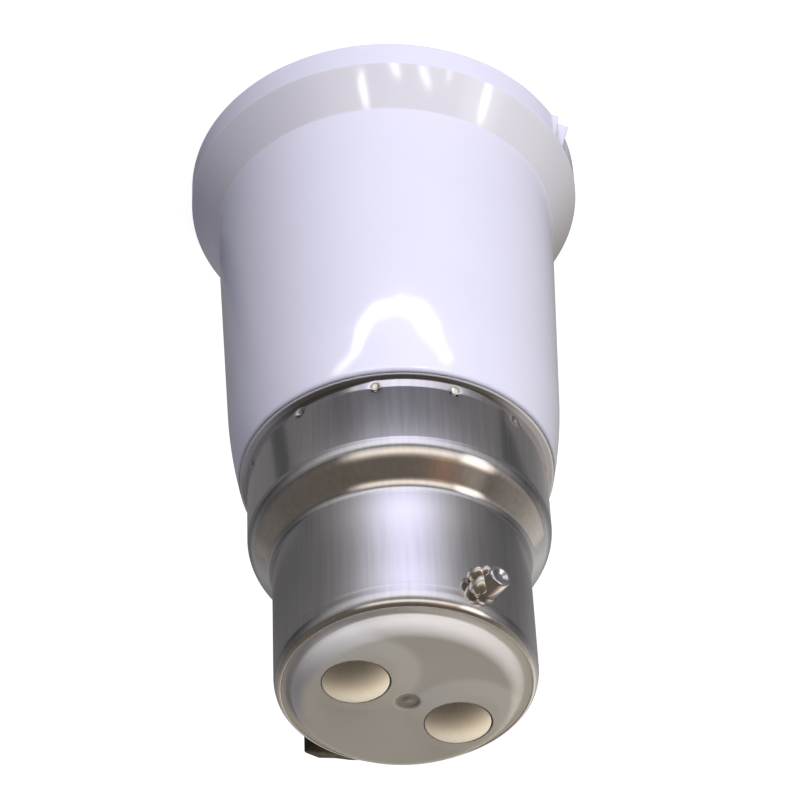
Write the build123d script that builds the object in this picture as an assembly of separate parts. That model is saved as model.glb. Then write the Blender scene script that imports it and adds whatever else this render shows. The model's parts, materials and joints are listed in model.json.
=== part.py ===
from build123d import *
import os

# Lamp socket adapter: a bayonet cap that goes into a holder, and a screw socket that takes a lamp.
# Millimetres. The mouth's rim stands on z = 0 and +Z runs along the axis to the cap's end face.
# The bayonet pins lie on X. The two end contacts lie on Y.

# Housing: one white moulding, flared at the mouth
MOUTH_DIAMETER = 36.4
RIM_HEIGHT = 2.75
RIM_ROUND = 0.3
FLARE_HEIGHT = 3.55
FLARE_ROUND = 0.4
BARREL_DIAMETER = 31.5
BARREL_LENGTH = 22.7
NOSE_START_DIAMETER = 29.6
NOSE_LENGTH = 8.3
NOSE_DIAMETER = 27.5
NOSE_ROUND = 0.25
MOUTH_WALL = 1.7
FLOOR_THICKNESS = 2.2
NECK_WALL = 1.6
CAVITY_ROUND = 0.3
NECK_ROUND = 0.9
SPIGOT_WALL = 1.2

# Screw socket: a drawn shell with two lugs turned in at its base
SCREW_DIAMETER = 26.7
SCREW_WALL = 0.3
SCREW_LENGTH = 19.1
SCREW_SETBACK = 0.5
SHELL_BASE_STEP = 0.95
SHELL_TAPER = 1.0
SHELL_BASE_HEIGHT = 2.8
SHELL_ROUND = 0.4
LUG_WIDTH = 6.5
LUG_END = 2.3
LUG_ROUND = 2.2

# Centre contact: a sprung strip, riveted at its foot
STRIP_WIDTH = 5.0
STRIP_THICKNESS = 0.4
FOOT_BACK = 2.3
FOOT_FRONT = 2.4
HINGE_GAP = 0.06
TONGUE_HEIGHT = 2.8
TONGUE_FLAT_START = 1.6
TONGUE_FLAT_END = 2.2
TOE_LENGTH = 1.0
TOE_DROP = 0.5
STRIP_BEND = 0.8
PIP_RADIUS = 1.5
PIP_HEIGHT = 0.5

# Rivets, solder tags, solder and leads behind the floor
RIVET_SHANK = 2.4
RIVET_HEAD = 3.8
RIVET_HEAD_HEIGHT = 0.8
RIVET_ROUND = 0.5
TAG_THICKNESS = 0.4
TAG_RING = 4.2
TAG_MARGIN = 0.35
TAG_WIDTH = 2.4
TAG_REACH = 3.6
SOLDER_DIAMETER = 2.4
LEAD_DIAMETER = 1.9
LEAD_CORE = 0.8
LEAD_STRIP = 1.7
LEAD_STRAIGHT = 5.0
LEAD_BEND = 4.0
LEAD_SLACK = 2.6

# Bayonet cap: a drawn, plated shell staked to the housing's neck
CAP_DIAMETER = 22.0
CAP_LENGTH = 12.82
CAP_WALL = 0.35
CAP_LIP = 1.25
LIP_ROUND = 0.5
ROLL_HEIGHT = 0.8
ROLL_WIDTH = 0.56
ROLL_ROUND = 1.7
SKIRT_DIAMETER = 26.2
SKIRT_LENGTH = 7.35
SHOULDER_LENGTH = 2.6
SHOULDER_ROUND = 3.0
THROAT_ROUND = 1.8
STAKE_COUNT = 12
STAKE_SETBACK = 0.9
STAKE_RADIUS = 0.7
STAKE_DEPTH = 0.45

# Bayonet pins: headed studs driven through the cap's wall
PIN_DIAMETER = 2.2
PIN_SPAN = 26.8
PIN_SETBACK = 2.72
PIN_SHANK = 1.6
PIN_SHANK_DEPTH = 1.9
PIN_ROUND = 0.3

# End insulator: a moulded cup with a raised round boss
BOSS_GAP = 0.2
BOSS_HEIGHT = 1.78
BOSS_ROUND = 1.1
END_WALL = 3.4
CUP_WALL = 1.25
CUP_ROUND = 0.45
CUP_SETBACK = 0.9
GATE_DIAMETER = 2.2
GATE_DEPTH = 0.35
GATE_NUB = 1.0

# End contacts: domed eyelets set in round recesses
CONTACT_SPACING = 10.3
CONTACT_DIAMETER = 5.6
CONTACT_GAP = 0.15
CONTACT_EDGE = 0.5
CONTACT_DOME = 0.5
RECESS_DEPTH = 0.4
SHANK_DIAMETER = 2.8
SHANK_BORE = 1.1
CLENCH_DIAMETER = 4.2
CLENCH_HEIGHT = 0.4

# Clearances
SLIP = 0.1
HOLE_SLIP = 0.05

# Heights along the axis
flare_z = RIM_HEIGHT + FLARE_HEIGHT
nose_z = flare_z + BARREL_LENGTH
step_z = nose_z + NOSE_LENGTH
thread_z = flare_z + SCREW_SETBACK
base_z = thread_z + SCREW_LENGTH + SHELL_TAPER
floor_z = base_z + SHELL_BASE_HEIGHT
cavity_z = floor_z + FLOOR_THICKNESS
tag_z = cavity_z + TAG_THICKNESS
shoulder_z = step_z + SKIRT_LENGTH
barrel_z = shoulder_z + SHOULDER_LENGTH
cap_end_z = barrel_z + CAP_LENGTH
roll_z = cap_end_z - ROLL_HEIGHT
pin_z = cap_end_z - PIN_SETBACK
ledge_z = cap_end_z - CAP_WALL - HOLE_SLIP
face_z = ledge_z + BOSS_HEIGHT
recess_z = face_z - RECESS_DEPTH
cup_floor_z = face_z - END_WALL
clench_z = cup_floor_z - CLENCH_HEIGHT
cup_z = barrel_z + CUP_SETBACK

# Radii shared by pieces that fit together
bore_radius = SCREW_DIAMETER / 2 + SCREW_WALL + SLIP
cap_radius = CAP_DIAMETER / 2
cap_bore = cap_radius - CAP_WALL
skirt_radius = SKIRT_DIAMETER / 2
neck_radius = skirt_radius - CAP_WALL - SLIP
spigot_radius = cap_bore - 2 * SLIP
cup_radius = cap_bore - SLIP
lip_radius = cap_radius - CAP_LIP - HOLE_SLIP
boss_radius = lip_radius - BOSS_GAP
cavity_radius = neck_radius - NECK_WALL
rivet_radius = cavity_radius - TAG_RING / 2 - TAG_MARGIN
hinge_radius = rivet_radius - FOOT_FRONT
contact_y = CONTACT_SPACING / 2
hinge_z = floor_z - STRIP_THICKNESS / 2

# The rolled end's slope, and the cup's edge, which keeps a slip under it
under_wall = CAP_WALL + SLIP
under_slope = under_wall * (ROLL_HEIGHT**2 + ROLL_WIDTH**2) ** 0.5
cup_edge_z = roll_z + (ROLL_HEIGHT * under_wall - under_slope) / ROLL_WIDTH
cup_edge_radius = cap_radius + (ROLL_WIDTH * (roll_z - ledge_z) - under_slope) / ROLL_HEIGHT

# The punched stakes: where each dimple's ball lies, and how wide its bump is inside the skirt
stake_ball = skirt_radius - STAKE_DEPTH + STAKE_RADIUS
bump_radius = STAKE_RADIUS + CAP_WALL
bump_half = (bump_radius**2 - (stake_ball - skirt_radius + CAP_WALL) ** 2) ** 0.5
groove_radius = skirt_radius - CAP_WALL - STAKE_DEPTH - SLIP
groove_z = step_z + STAKE_SETBACK + bump_half + SLIP


def turned(outline):
    """The solid of revolution about the axis of an outline in radius and height."""
    return revolve(Plane.XZ * make_face(outline.edges()), axis=Axis.Z)


def drawn_sheet(points, rounds, wall):
    """A drawn shell: a sheet's outer line, rounded at its bends, given its wall inwards and turned."""
    line = FilletPolyline(*points, radius=rounds)
    return turned(offset(line, amount=wall, side=Side.LEFT))


def around(part, angles):
    """Copies of a part turned about the axis."""
    return [Rot(Z=angle) * part for angle in angles]


def bar(radius, low, high):
    """A round bar on the axis between two heights."""
    return Pos(Z=low) * Cylinder(radius, high - low, align=(Align.CENTER, Align.CENTER, Align.MIN))


# The rivets that fasten the shell's lugs and the contact's foot to the floor
lug_places = [(0, rivet_radius), (0, -rivet_radius)]
foot_place = (-rivet_radius, 0)
rivet_hole = bar(RIVET_SHANK / 2 + HOLE_SLIP, floor_z - RIVET_HEAD, cavity_z + RIVET_HEAD)


def rivet(low, high):
    """A rivet on the axis that grips what lies between two heights."""
    head = RIVET_HEAD / 2
    shank = RIVET_SHANK / 2
    points = [
        (0, low - RIVET_HEAD_HEIGHT),
        (head, low - RIVET_HEAD_HEIGHT),
        (head, low),
        (shank, low),
        (shank, high),
        (head, high),
        (head, high + RIVET_HEAD_HEIGHT),
        (0, high + RIVET_HEAD_HEIGHT),
    ]
    rounds = [0, RIVET_ROUND, 0, 0, 0, 0, RIVET_ROUND, 0]
    return turned(FilletPolyline(*points, radius=rounds, close=True))


def make_housing():
    """The moulding: flared mouth, barrel, floor behind the socket, and a stepped neck inside the cap."""
    mouth = MOUTH_DIAMETER / 2
    outside = FilletPolyline(
        (mouth - MOUTH_WALL, 0),
        (mouth, 0),
        (mouth, RIM_HEIGHT),
        (BARREL_DIAMETER / 2, flare_z),
        (NOSE_START_DIAMETER / 2, nose_z),
        radius=[RIM_ROUND, RIM_ROUND, FLARE_ROUND],
    )
    nose = TangentArc(outside @ 1, (NOSE_DIAMETER / 2, step_z), tangent=outside % 1)
    neck_end = shoulder_z - SHOULDER_LENGTH / 2
    cone_z = barrel_z - SHOULDER_LENGTH / 2
    inside = FilletPolyline(
        nose @ 1,
        (groove_radius, step_z),
        (groove_radius, groove_z),
        (neck_radius, groove_z),
        (neck_radius, neck_end),
        (spigot_radius, cone_z),
        (spigot_radius, cup_z),
        (spigot_radius - SPIGOT_WALL, cup_z),
        (spigot_radius - SPIGOT_WALL, cone_z - NECK_WALL / 2),
        (cavity_radius, neck_end - NECK_WALL / 2),
        (cavity_radius, cavity_z),
        (0, cavity_z),
        (0, floor_z),
        (bore_radius, floor_z),
        (bore_radius, flare_z),
        (mouth - MOUTH_WALL, RIM_HEIGHT),
        outside @ 0,
        radius=[0, 0, 0, NECK_ROUND, 0, 0, 0, 0, 0, CAVITY_ROUND, 0, 0, 0, FLARE_ROUND, RIM_ROUND],
    )
    section = make_face((Curve() + [outside, nose, inside]).edges())
    step_corner = section.vertices().sort_by_distance((NOSE_DIAMETER / 2, step_z, 0))[0]
    body = turned(fillet(step_corner, NOSE_ROUND))
    for place in [*lug_places, foot_place]:
        body -= Pos(*place) * rivet_hole
    return body


def make_screw_shell():
    """The socket's shell: a plain wall at the thread's outside, drawn in at its base, with two lugs."""
    wall = SCREW_DIAMETER / 2 + SCREW_WALL
    base = wall - SHELL_BASE_STEP
    points = [(wall, thread_z), (wall, thread_z + SCREW_LENGTH), (base, base_z), (base, floor_z)]
    shell = drawn_sheet(points, [SHELL_ROUND, SHELL_ROUND], SCREW_WALL)
    lug_start = rivet_radius - LUG_END
    lug_plan = Rectangle(base - SCREW_WALL / 2 - lug_start, LUG_WIDTH, align=(Align.MIN, Align.CENTER))
    lug_plan = fillet(lug_plan.vertices().group_by(Axis.X)[0], LUG_ROUND)
    lug_at = Pos(lug_start, 0, floor_z - SCREW_WALL)
    lug = lug_at * extrude(lug_plan, amount=SCREW_WALL)
    shell += around(lug, [90, -90])
    for place in lug_places:
        shell -= Pos(*place) * rivet_hole
    return shell


def strip(points):
    """A strip of the contact's thickness and width that follows a bent line in X and Z, with round ends."""
    line = FilletPolyline(*points, radius=STRIP_BEND) if len(points) > 2 else Polyline(*points)
    outline = make_face(offset(line, amount=STRIP_THICKNESS / 2).edges())
    return extrude(Plane.XZ * outline, amount=STRIP_WIDTH / 2, both=True)


def make_contact_foot():
    """The centre contact's foot, flat on the floor, with its rivet hole. Its end is round about the hinge."""
    foot = strip([(-rivet_radius - FOOT_BACK, hinge_z), (-hinge_radius, hinge_z)])
    return foot - Pos(*foot_place) * rivet_hole


def make_contact_tongue():
    """The sprung tongue: it leans from the foot to the axis, where a pressed pip meets the lamp."""
    flat_z = floor_z - TONGUE_HEIGHT
    tongue = strip(
        [
            (-hinge_radius, hinge_z),
            (-TONGUE_FLAT_START, flat_z),
            (TONGUE_FLAT_END, flat_z),
            (TONGUE_FLAT_END + TOE_LENGTH, flat_z + TOE_DROP),
        ]
    )
    face = flat_z - STRIP_THICKNESS / 2
    dome = (PIP_RADIUS**2 + PIP_HEIGHT**2) / (2 * PIP_HEIGHT)
    dome_at = Pos(Z=face - PIP_HEIGHT + dome)
    tongue += dome_at * Sphere(dome) & bar(PIP_RADIUS, face - PIP_HEIGHT, flat_z)
    tongue -= dome_at * Sphere(dome - STRIP_THICKNESS)
    root_gap = Cylinder(STRIP_THICKNESS / 2 + HINGE_GAP, 2 * STRIP_WIDTH, rotation=(90, 0, 0))
    return tongue - Pos(-hinge_radius, 0, hinge_z) * root_gap


def solder_tag(place, turn):
    """A flat tag behind the floor: a ring under a rivet and a tail towards the axis for the solder."""
    tail = Rectangle(TAG_REACH, TAG_WIDTH, align=(Align.MIN, Align.CENTER))
    plan = Circle(TAG_RING / 2) + tail + Pos(TAG_REACH) * Circle(TAG_WIDTH / 2)
    plan -= Circle(RIVET_SHANK / 2 + HOLE_SLIP)
    return Pos(*place, cavity_z) * Rot(Z=turn) * extrude(plan, amount=TAG_THICKNESS)


# Where the leads are soldered to the tags
shell_joint = (0, rivet_radius - TAG_REACH)
centre_joint = (TAG_REACH - rivet_radius, 0)


def make_lead(tag_end, contact_end, way):
    """An insulated lead from a solder tag to an end contact, with its core bared at both ends."""
    low = tag_z + LEAD_STRIP
    high = clench_z - LEAD_STRIP
    middle = (low + high) / 2
    points = [
        (*tag_end, low),
        (*tag_end, low + LEAD_STRAIGHT),
        (*way, middle),
        (*contact_end, high - LEAD_STRAIGHT),
        (*contact_end, high),
    ]
    path = FilletPolyline(*points, radius=LEAD_BEND)
    lead = sweep(Plane(path @ 0, z_dir=path % 0) * Circle(LEAD_DIAMETER / 2), path=path)
    core = LEAD_CORE / 2
    lead += Pos(*tag_end) * bar(core, tag_z, low)
    lead += Pos(*contact_end) * bar(core, high, cup_floor_z)
    return lead


def make_solder_joints():
    """Four beads: on the two tags, and under the two end contacts, each round a lead's bared core."""
    ball = SOLDER_DIAMETER / 2
    ring = LEAD_CORE / 2 + HOLE_SLIP
    bead = Sphere(ball) & bar(ball, 0, ball)
    bead -= bar(ring, -ball, ball)
    beads = [Pos(*place, tag_z) * bead for place in (shell_joint, centre_joint)]
    under = Rot(X=180) * bead
    beads += [Pos(0, y, clench_z) * under for y in (contact_y, -contact_y)]
    return Compound(children=beads)


def make_cap_shell():
    """The cap's drawn shell: skirt, sloping shoulder, barrel and rolled end, staked round its skirt."""
    points = [
        (skirt_radius, step_z),
        (skirt_radius, shoulder_z),
        (cap_radius, barrel_z),
        (cap_radius, roll_z),
        (cap_radius - ROLL_WIDTH, cap_end_z),
        (lip_radius, cap_end_z),
    ]
    shell = drawn_sheet(points, [SHOULDER_ROUND, THROAT_ROUND, ROLL_ROUND, LIP_ROUND], CAP_WALL)
    punch_at = Pos(stake_ball, 0, step_z + STAKE_SETBACK)
    inside_skirt = bar(skirt_radius - CAP_WALL / 2, step_z, shoulder_z)
    bump = punch_at * Sphere(bump_radius) & inside_skirt
    punch = punch_at * Sphere(STAKE_RADIUS)
    pitch = 360 / STAKE_COUNT
    angles = [pitch / 2 + pitch * k for k in range(STAKE_COUNT)]
    shell += around(bump, angles)
    shell -= around(punch, angles)
    pin_hole = Cylinder(PIN_SHANK / 2 + HOLE_SLIP, PIN_SPAN, rotation=(0, 90, 0))
    return shell - Pos(Z=pin_z) * pin_hole


def make_bayonet_pin():
    """A pin along +X: a round head saddled on the barrel and a shank driven through wall and cup."""
    head = PIN_DIAMETER / 2
    tip = PIN_SPAN / 2
    shank_end = cap_radius - PIN_SHANK_DEPTH
    head_start = cap_radius - CAP_WALL
    points = [(0, head_start), (head, head_start), (head, tip), (0, tip)]
    stud = turned(FilletPolyline(*points, radius=[0, 0, PIN_ROUND, 0], close=True))
    stud = Pos(Z=pin_z) * Rot(Y=90) * stud
    stud -= bar(cap_radius, step_z, cap_end_z)
    shank = bar(PIN_SHANK / 2, shank_end, (head_start + tip) / 2)
    return stud + Pos(Z=pin_z) * Rot(Y=90) * shank


def make_cap_insulator():
    """The end insulator: a cup on the neck's spigot, under the rolled end, with a boss for the contacts."""
    inner = cup_radius - CUP_WALL
    points = [
        (0, cup_floor_z),
        (inner, cup_floor_z),
        (inner, cup_z),
        (cup_radius, cup_z),
        (cup_radius, cup_edge_z),
        (cup_edge_radius, ledge_z),
        (boss_radius, ledge_z),
        (boss_radius, face_z),
        (0, face_z),
    ]
    rounds = [0, CUP_ROUND, 0, 0, ROLL_ROUND - under_wall, 0, 0, BOSS_ROUND, 0]
    cup = turned(FilletPolyline(*points, radius=rounds, close=True))
    gate = bar(GATE_DIAMETER / 2, face_z - GATE_DEPTH, face_z)
    cup -= gate - bar(GATE_NUB / 2, face_z - GATE_DEPTH, face_z - GATE_DEPTH / 3)
    for y in (contact_y, -contact_y):
        cup -= Pos(0, y) * bar(CONTACT_DIAMETER / 2 + CONTACT_GAP, recess_z, face_z)
        cup -= Pos(0, y) * bar(SHANK_DIAMETER / 2 + HOLE_SLIP, cup_floor_z, face_z)
    pin_hole = Cylinder(PIN_SHANK / 2 + HOLE_SLIP, 2 * PIN_SHANK_DEPTH, rotation=(0, 90, 0))
    for x in (cap_radius, -cap_radius):
        cup -= Pos(x, 0, pin_z) * pin_hole
    return cup


def make_end_contact():
    """An end contact on the axis: a domed head, a hollow shank, and a clenched end for the solder."""
    head = CONTACT_DIAMETER / 2
    shank = SHANK_DIAMETER / 2
    bore = SHANK_BORE / 2
    edge_z = recess_z + CONTACT_EDGE
    dome = ThreePointArc((-head, edge_z), (0, edge_z + CONTACT_DOME), (head, edge_z))
    half_dome = dome.trim(0.5, 1)
    rest = Polyline(
        (head, edge_z),
        (head, recess_z),
        (shank, recess_z),
        (shank, cup_floor_z),
        (CLENCH_DIAMETER / 2, cup_floor_z),
        (CLENCH_DIAMETER / 2, clench_z),
        (bore, clench_z),
        (bore, recess_z),
        (0, recess_z),
        (0, edge_z + CONTACT_DOME),
    )
    return turned(Curve() + [half_dome, rest])


end_contact = make_end_contact()
bayonet_pin = make_bayonet_pin()
shell_rivet_tops = [tag_z, cavity_z]
shell_rivets = [
    Pos(*place) * rivet(floor_z - SCREW_WALL, top) for place, top in zip(lug_places, shell_rivet_tops)
]

nodes = {
    "housing": make_housing(),
    "screw_shell": make_screw_shell(),
    "shell_rivets": Compound(children=shell_rivets),
    "contact_foot": make_contact_foot(),
    "contact_tongue": make_contact_tongue(),
    "centre_rivet": Pos(*foot_place) * rivet(floor_z - STRIP_THICKNESS, tag_z),
    "shell_tag": solder_tag(lug_places[0], -90),
    "centre_tag": solder_tag(foot_place, 0),
    "shell_lead": make_lead(shell_joint, (0, contact_y), (LEAD_SLACK, contact_y - LEAD_SLACK / 2)),
    "centre_lead": make_lead(centre_joint, (0, -contact_y), (-LEAD_SLACK, -contact_y + LEAD_SLACK / 2)),
    "solder_joints": make_solder_joints(),
    "cap_shell": make_cap_shell(),
    "cap_insulator": make_cap_insulator(),
}
for k, turn in enumerate((0, 180), start=1):
    nodes[f"bayonet_pin_{k}"] = Rot(Z=turn) * bayonet_pin
for k, y in enumerate((contact_y, -contact_y), start=1):
    nodes[f"end_contact_{k}"] = Pos(0, y) * end_contact

os.makedirs("parts", exist_ok=True)
for name, part in nodes.items():
    export_step(part, f"parts/{name}.step")
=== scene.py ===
import json
import math

import bmesh
import bpy
import numpy as np
from mathutils import Matrix, Vector


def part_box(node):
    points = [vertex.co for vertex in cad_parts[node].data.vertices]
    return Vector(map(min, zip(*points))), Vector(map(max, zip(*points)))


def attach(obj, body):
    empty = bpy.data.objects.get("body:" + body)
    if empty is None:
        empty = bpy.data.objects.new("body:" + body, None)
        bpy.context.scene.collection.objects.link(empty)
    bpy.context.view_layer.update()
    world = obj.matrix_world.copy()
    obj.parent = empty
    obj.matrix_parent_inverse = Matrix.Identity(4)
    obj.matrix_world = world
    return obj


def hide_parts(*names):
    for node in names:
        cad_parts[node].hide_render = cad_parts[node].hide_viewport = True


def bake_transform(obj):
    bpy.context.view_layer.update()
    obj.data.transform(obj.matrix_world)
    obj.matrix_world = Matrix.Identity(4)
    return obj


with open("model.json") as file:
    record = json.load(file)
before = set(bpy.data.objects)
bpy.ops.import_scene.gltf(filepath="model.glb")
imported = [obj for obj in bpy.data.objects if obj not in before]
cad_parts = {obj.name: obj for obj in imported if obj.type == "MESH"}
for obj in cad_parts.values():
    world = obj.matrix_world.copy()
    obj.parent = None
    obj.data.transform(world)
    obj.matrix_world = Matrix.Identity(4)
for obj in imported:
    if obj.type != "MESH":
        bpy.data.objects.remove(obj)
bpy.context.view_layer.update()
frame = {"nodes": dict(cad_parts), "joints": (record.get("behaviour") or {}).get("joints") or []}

# Housing: one white moulding of glossy polyester from a polished mould, with a flared mouth for the lamp.
# The cap's skirt stands on the step behind its rounded nose, and that step is darkened in front with painted
# shade.
MM = 0.001
mouth_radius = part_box("housing")[1].x / MM
spigot_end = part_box("housing")[1].z / MM
step_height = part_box("cap_shell")[0].z / MM
skirt_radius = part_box("cap_shell")[1].x / MM
bore_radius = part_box("screw_shell")[1].x / MM + 0.1
floor_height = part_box("screw_shell")[1].z / MM
rim_height = 2.75
rim_wall = 1.7
flare_height = 6.3
flare_root = 15.75
nose_start = np.array([14.8, 29.0])
nose_end = np.array([13.75, step_height])
spigot_radius = 10.45
spigot_bore = 9.25
neck_radius = skirt_radius - 0.45
cavity_radius = neck_radius - 1.6
cavity_height = floor_height + 2.2
front_angle = math.radians(37)
flash_teeth = [(63.6, 1.5, 0.5), (68.4, 2.0, 0.78)]
flash_height = 1.5


def rounded_line(corners, coarse=1.5, close=0.05, turn=9):
    """Points of a line through corners (radius, height, rounding) in millimetres.

    Each rounding is the arc that touches both of its corner's runs. Its points are
    centre + (a sin((1 - t) w) + b sin(t w)) / sin w, where a and b go from its centre to its ends and w is
    the angle between them. A run has a point close to each end, which holds it flat in smooth shading, and
    others at most coarse apart.
    """
    corners = np.array(corners, float)
    places, roundings = corners[:, :2], corners[:, 2]
    bends = [places[:1]]
    for before, here, after, size in zip(places[:-2], places[1:-1], places[2:], roundings[1:-1]):
        back = (before - here) / np.linalg.norm(before - here)
        on = (after - here) / np.linalg.norm(after - here)
        half = math.acos(back @ on) / 2
        if size == 0:
            bends.append(here[None])
            continue
        centre = here + (back + on) / np.linalg.norm(back + on) * size / math.sin(half)
        first = here + back * size / math.tan(half) - centre
        last = here + on * size / math.tan(half) - centre
        width = math.pi - 2 * half
        t = np.linspace(0, 1, turn)[:, None]
        arc = (first * np.sin((1 - t) * width) + last * np.sin(t * width)) / math.sin(width)
        bends.append(centre + arc)
    bends.append(places[-1:])
    line = [bends[0]]
    for first, second in zip(bends[:-1], bends[1:]):
        run = second[0] - first[-1]
        length = np.linalg.norm(run)
        if length > 4 * close:
            steps = np.linspace(close, length - close, max(2, math.ceil(length / coarse)))
            line.append(first[-1] + np.outer(steps / length, run))
        line.append(second)
    return np.concatenate(line)


def turned(line, around=256, extra=()):
    """Grid of a turned shape: the point (r, z) of the line at angle a is (r cos a, r sin a, z).

    The angles are around even ones and any extra ones.
    """
    a = np.unique(np.concatenate([np.linspace(0, 2 * np.pi, around, endpoint=False), extra]))
    r, z = line[:, :1], line[:, 1:]
    return np.stack([r * np.cos(a), r * np.sin(a), z + 0 * a], axis=-1)


def make_piece(name, grids, material):
    """A mesh piece in metres from grids of points in millimetres, each closed round its columns.

    The face at row i, column j joins the points (i, j), (i, j + 1), (i + 1, j + 1) and (i + 1, j). Points
    that coincide, as at a pole or where a closed line ends, are merged, and the faces are turned outwards.
    """
    places, faces, count = [], [], 0
    for grid in grids:
        rows, columns = grid.shape[:2]
        index = count + np.arange(rows * columns).reshape(rows, columns)
        on = np.roll(index, -1, axis=1)
        faces.append(np.stack([index[:-1], on[:-1], on[1:], index[1:]], axis=-1).reshape(-1, 4))
        places.append(grid.reshape(-1, 3) * MM)
        count += rows * columns
    mesh = bpy.data.meshes.new(name)
    mesh.from_pydata(np.concatenate(places), [], np.concatenate(faces))
    shape = bmesh.new()
    shape.from_mesh(mesh)
    bmesh.ops.remove_doubles(shape, verts=shape.verts, dist=0.0005 * MM)
    bmesh.ops.recalc_face_normals(shape, faces=shape.faces)
    shape.to_mesh(mesh)
    shape.free()
    mesh.shade_smooth()
    mesh.materials.append(material)
    piece = bpy.data.objects.new(name, mesh)
    bpy.context.collection.objects.link(piece)
    return piece


def linear(code):
    """An sRGB hex colour as linear red, green and blue, with full alpha."""
    parts = [int(code[k : k + 2], 16) / 255 for k in (1, 3, 5)]
    return [p / 12.92 if p <= 0.04045 else ((p + 0.055) / 1.055) ** 2.4 for p in parts] + [1.0]


def add(tree, kind, inputs=(), **settings):
    """Adds a shader node: settings are its own properties, inputs give its sockets a value or a link."""
    made = tree.nodes.new("ShaderNode" + kind)
    for key, value in settings.items():
        setattr(made, key, value)
    for key, value in dict(inputs).items():
        if isinstance(value, bpy.types.NodeSocket):
            tree.links.new(value, made.inputs[key])
        else:
            made.inputs[key].default_value = value
    return made


def new_material(name):
    """An empty node material and its tree."""
    material = bpy.data.materials.new(name)
    material.use_nodes = True
    material.node_tree.nodes.clear()
    return material, material.node_tree


def grain(tree, where, size, detail):
    """Noise from 0 to 1 with features of a size in millimetres."""
    return add(tree, "TexNoise", {"Vector": where, "Scale": 1 / (size * MM), "Detail": detail}).outputs["Fac"]


def ramp(tree, value, start, end, low=0.0, high=1.0):
    """Goes from low to high while the value goes from start to end, and stays level beyond them."""
    inputs = {"Value": value, "From Min": start, "From Max": end, "To Min": low, "To Max": high}
    return add(tree, "MapRange", inputs).outputs["Result"]


def bump(tree, height, strength, depth):
    """A normal tilted by heights of 0 to 1 over a depth in millimetres."""
    inputs = {"Height": height, "Strength": strength, "Distance": depth * MM}
    return add(tree, "Bump", inputs).outputs["Normal"]


def tinted(tree, share, first, second):
    """The first colour where the share is 0, the second where it is 1, and mixed between."""
    return add(tree, "Mix", {"Factor": share, 6: first, 7: second}, data_type="RGBA").outputs[2]


def surface(tree, inputs):
    """Ends a material's tree with a Principled shader that has these inputs."""
    shader = add(tree, "BsdfPrincipled", inputs)
    add(tree, "OutputMaterial", {"Surface": shader.outputs[0]})


# Glossy white polyester: a clear mirror-like skin from the polished mould, slightly wavy where it has shrunk,
# greyer with painted shade where it faces up at the flare, and darkened with painted shade in the step
# before the cap
white_polyester, tree = new_material("glossy_white_polyester")
shrink_wave = 3.5
step_shade_height = 0.12
step_shade_width = 0.2
where = add(tree, "TexCoord").outputs["Object"]
white = tinted(tree, grain(tree, where, 9, 3.0), linear("#EDEBF4"), linear("#F1EFF7"))
# Painted shade: the skin is greyed where it faces up, at the flare.
facing = add(tree, "SeparateXYZ", {"Vector": add(tree, "TexCoord").outputs["Normal"]}).outputs["Z"]
white = tinted(tree, ramp(tree, facing, 0.42, 0.55), white, linear("#E6E3E4"))
# Painted shade: the step before the cap is darkened in front, next to the skirt's edge.
height = add(tree, "SeparateXYZ", {"Vector": where}).outputs["Z"]
near_step = ramp(tree, height, (step_height - step_shade_height) * MM, (step_height - 0.02) * MM)
flat = add(tree, "VectorMath", {0: where, 1: (1, 1, 0)}, operation="MULTIPLY").outputs["Vector"]
radius = add(tree, "VectorMath", {0: flat}, operation="LENGTH").outputs["Value"]
inside = ramp(tree, radius, (nose_end[0] - 0.02) * MM, (nose_end[0] - step_shade_width) * MM)
forward = (math.cos(front_angle), math.sin(front_angle), 0)
ahead = add(tree, "VectorMath", {0: where, 1: forward}, operation="DOT_PRODUCT").outputs["Value"]
in_front = ramp(tree, ahead, 0.58 * skirt_radius * MM, 0.8 * skirt_radius * MM)
step_shade = add(tree, "Math", {0: near_step, 1: inside}, operation="MULTIPLY").outputs["Value"]
step_shade = add(tree, "Math", {0: step_shade, 1: in_front}, operation="MULTIPLY").outputs["Value"]
surface(
    tree,
    {
        "Base Color": tinted(tree, step_shade, white, linear("#8A8680")),
        "Roughness": 0.12,
        "IOR": 1.57,
        "Normal": bump(tree, grain(tree, where, shrink_wave, 1.0), 0.5, 0.03),
    },
)

# The nose is one arc that leaves the barrel along its slope, so its two runs meet halfway along the arc
slope = nose_start - (flare_root, flare_height)
slope /= np.linalg.norm(slope)
chord = nose_end - nose_start
half_turn = math.acos(slope @ chord / np.linalg.norm(chord))
reach = np.linalg.norm(chord) / 2 / math.cos(half_turn)
nose_corner = nose_start + slope * reach
nose_arc = 0.98 * reach / math.tan(half_turn)

housing_line = rounded_line(
    [
        (0, cavity_height, 0),
        (cavity_radius, cavity_height, 0.3),
        (cavity_radius, spigot_end - 5.6, 0),
        (spigot_bore, spigot_end - 3.0, 0),
        (spigot_bore, spigot_end, 0),
        (spigot_radius, spigot_end, 0),
        (spigot_radius, spigot_end - 2.2, 0),
        (neck_radius, spigot_end - 4.8, 0.9),
        (neck_radius, step_height, 0),
        (*nose_end, 0.25),
        (*nose_corner, nose_arc),
        (flare_root, flare_height, 0.4),
        (mouth_radius, rim_height, 0.3),
        (mouth_radius, 0, 0.3),
        (mouth_radius - rim_wall, 0, 0.2),
        (mouth_radius - rim_wall, rim_height, 0.3),
        (bore_radius, flare_height, 0.4),
        (bore_radius, floor_height, 0.1),
        (0, floor_height, 0),
    ],
    turn=13,
)


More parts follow.
